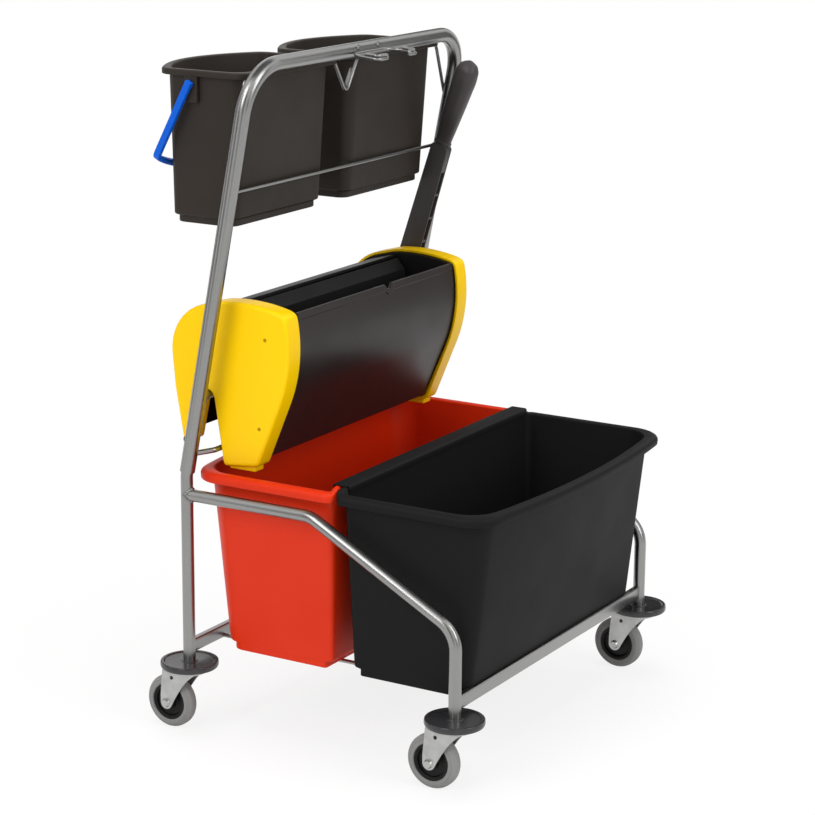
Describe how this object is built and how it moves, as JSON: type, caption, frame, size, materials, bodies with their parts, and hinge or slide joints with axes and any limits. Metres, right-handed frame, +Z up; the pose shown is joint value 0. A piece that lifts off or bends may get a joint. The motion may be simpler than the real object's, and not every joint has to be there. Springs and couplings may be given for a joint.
{
  "type": "mop bucket trolley",
  "caption": "Tubular cleaning trolley on swivel castors with a red and a black tub, a lever press for flat mops and small pails hung on the push handle",
  "frame": {"origin": "on the floor, midway between the four castor stems", "axes": "+Z up, +X to the right seen from the front, +Y towards the push handle"},
  "size_m": [0.666, 0.6014, 0.993],
  "materials": {
    "stainless": "satin stainless steel tube and wire",
    "bright_steel": "plain steel fixings",
    "zinc": "zinc plated pressed steel",
    "hub_black": "black moulded hub",
    "tyre_grey": "grey non-marking rubber",
    "bumper_grey": "dark grey bumper rubber",
    "red_plastic": "red moulded polypropylene",
    "black_plastic": "black moulded polypropylene",
    "pail_dark": "dark moulded polypropylene",
    "blue_plastic": "blue moulded polypropylene",
    "yellow_plastic": "yellow moulded plastic with a slight sheen",
    "lever_dark": "dark grey glass-filled nylon",
    "bush_white": "natural acetal"
  },
  "bodies": {
    "chassis": {"side_rail_left": "stainless", "side_rail_right": "stainless", "rear_leg_left": "stainless", "rear_leg_right": "stainless", "handle_hoop": "stainless", "front_cross_bar": "stainless", "rear_cross_bar": "stainless", "base_wires": "stainless", "bucket_stop_wire": "stainless", "bucket_rail_wire": "stainless", "mop_clip": "stainless", "press_hanger_rod": "stainless", "press_stop_rod": "stainless", "hoop_rivets": "bright_steel", "castor_stems": "bright_steel", "bumpers": "bumper_grey", "red_bucket": "red_plastic", "press_cap_left": "yellow_plastic", "press_cap_right": "yellow_plastic", "press_end_plate_left": "black_plastic", "press_end_plate_right": "black_plastic", "press_front_panel": "black_plastic", "press_rear_cover": "black_plastic", "jaw_hinge_rod": "bright_steel", "jaw_springs": "bright_steel", "shaft_bushes": "bush_white", "cap_screws": "bright_steel"},
    "castor_front_left": {"fork_front_left": "zinc", "axle_front_left": "zinc"},
    "wheel_front_left": {"hub_front_left": "hub_black", "tyre_front_left": "tyre_grey"},
    "castor_front_right": {"fork_front_right": "zinc", "axle_front_right": "zinc"},
    "wheel_front_right": {"hub_front_right": "hub_black", "tyre_front_right": "tyre_grey"},
    "castor_rear_left": {"fork_rear_left": "zinc", "axle_rear_left": "zinc"},
    "wheel_rear_left": {"hub_rear_left": "hub_black", "tyre_rear_left": "tyre_grey"},
    "castor_rear_right": {"fork_rear_right": "zinc", "axle_rear_right": "zinc"},
    "wheel_rear_right": {"hub_rear_right": "hub_black", "tyre_rear_right": "tyre_grey"},
    "lever": {"lever_arm": "lever_dark", "lever_grip": "lever_dark", "lever_bolt": "bright_steel", "cam_shaft": "bright_steel", "drive_cams": "black_plastic"},
    "jaw": {"press_jaw": "black_plastic"},
    "black_tub": {"black_bucket": "black_plastic", "rim_link_strip": "black_plastic"},
    "pail_left": {"small_bucket_left": "pail_dark"},
    "pail_bail_left": {"bail_left": "blue_plastic"},
    "pail_right": {"small_bucket_right": "pail_dark"},
    "pail_bail_right": {"bail_right": "blue_plastic"}
  },
  "joints": [
    {"name": "swivel_front_left", "type": "hinge", "parent": "chassis", "child": "castor_front_left", "pos_m": [-0.29, -0.224, 0.095], "axis": [0, 0, 1], "continuous": true},
    {"name": "roll_front_left", "type": "hinge", "parent": "castor_front_left", "child": "wheel_front_left", "pos_m": [-0.29, -0.192, 0.04], "axis": [1, 0, 0], "continuous": true},
    {"name": "swivel_front_right", "type": "hinge", "parent": "chassis", "child": "castor_front_right", "pos_m": [0.29, -0.224, 0.095], "axis": [0, 0, 1], "continuous": true},
    {"name": "roll_front_right", "type": "hinge", "parent": "castor_front_right", "child": "wheel_front_right", "pos_m": [0.29, -0.192, 0.04], "axis": [1, 0, 0], "continuous": true},
    {"name": "swivel_rear_left", "type": "hinge", "parent": "chassis", "child": "castor_rear_left", "pos_m": [-0.29, 0.224, 0.095], "axis": [0, 0, 1], "continuous": true},
    {"name": "roll_rear_left", "type": "hinge", "parent": "castor_rear_left", "child": "wheel_rear_left", "pos_m": [-0.29, 0.256, 0.04], "axis": [1, 0, 0], "continuous": true},
    {"name": "swivel_rear_right", "type": "hinge", "parent": "chassis", "child": "castor_rear_right", "pos_m": [0.29, 0.224, 0.095], "axis": [0, 0, 1], "continuous": true},
    {"name": "roll_rear_right", "type": "hinge", "parent": "castor_rear_right", "child": "wheel_rear_right", "pos_m": [0.29, 0.256, 0.04], "axis": [1, 0, 0], "continuous": true},
    {"name": "lever_pull", "type": "hinge", "parent": "chassis", "child": "lever", "pos_m": [0, 0.2019, 0.5645], "axis": [1, 0, 0], "range_deg": [0, 70], "stiffness_Nm_per_rad": 3, "springref_deg": -34.38},
    {"name": "jaw_press", "type": "hinge", "parent": "chassis", "child": "jaw", "pos_m": [0, 0.1479, 0.4325], "axis": [1, 0, 0], "range_deg": [0, 14]},
    {"name": "black_tub_lift", "type": "slide", "parent": "chassis", "child": "black_tub", "axis": [0, 0, 1], "range_m": [0, 0.14]},
    {"name": "pail_lift_left", "type": "slide", "parent": "chassis", "child": "pail_left", "axis": [0, 0, 1], "range_m": [0, 0.15]},
    {"name": "bail_swing_left", "type": "hinge", "parent": "pail_left", "child": "pail_bail_left", "pos_m": [-0.14625, 0.22259, 0.9483], "axis": [1, 0, 0], "range_deg": [0, 150]},
    {"name": "pail_lift_right", "type": "slide", "parent": "chassis", "child": "pail_right", "axis": [0, 0, 1], "range_m": [0, 0.15]},
    {"name": "bail_swing_right", "type": "hinge", "parent": "pail_right", "child": "pail_bail_right", "pos_m": [0.14625, 0.22259, 0.9483], "axis": [1, 0, 0], "range_deg": [0, 150]}
  ],
  "couplings": [
    {"joint": "jaw_press", "follows": "lever_pull", "ratio": 0.2}
  ]
}
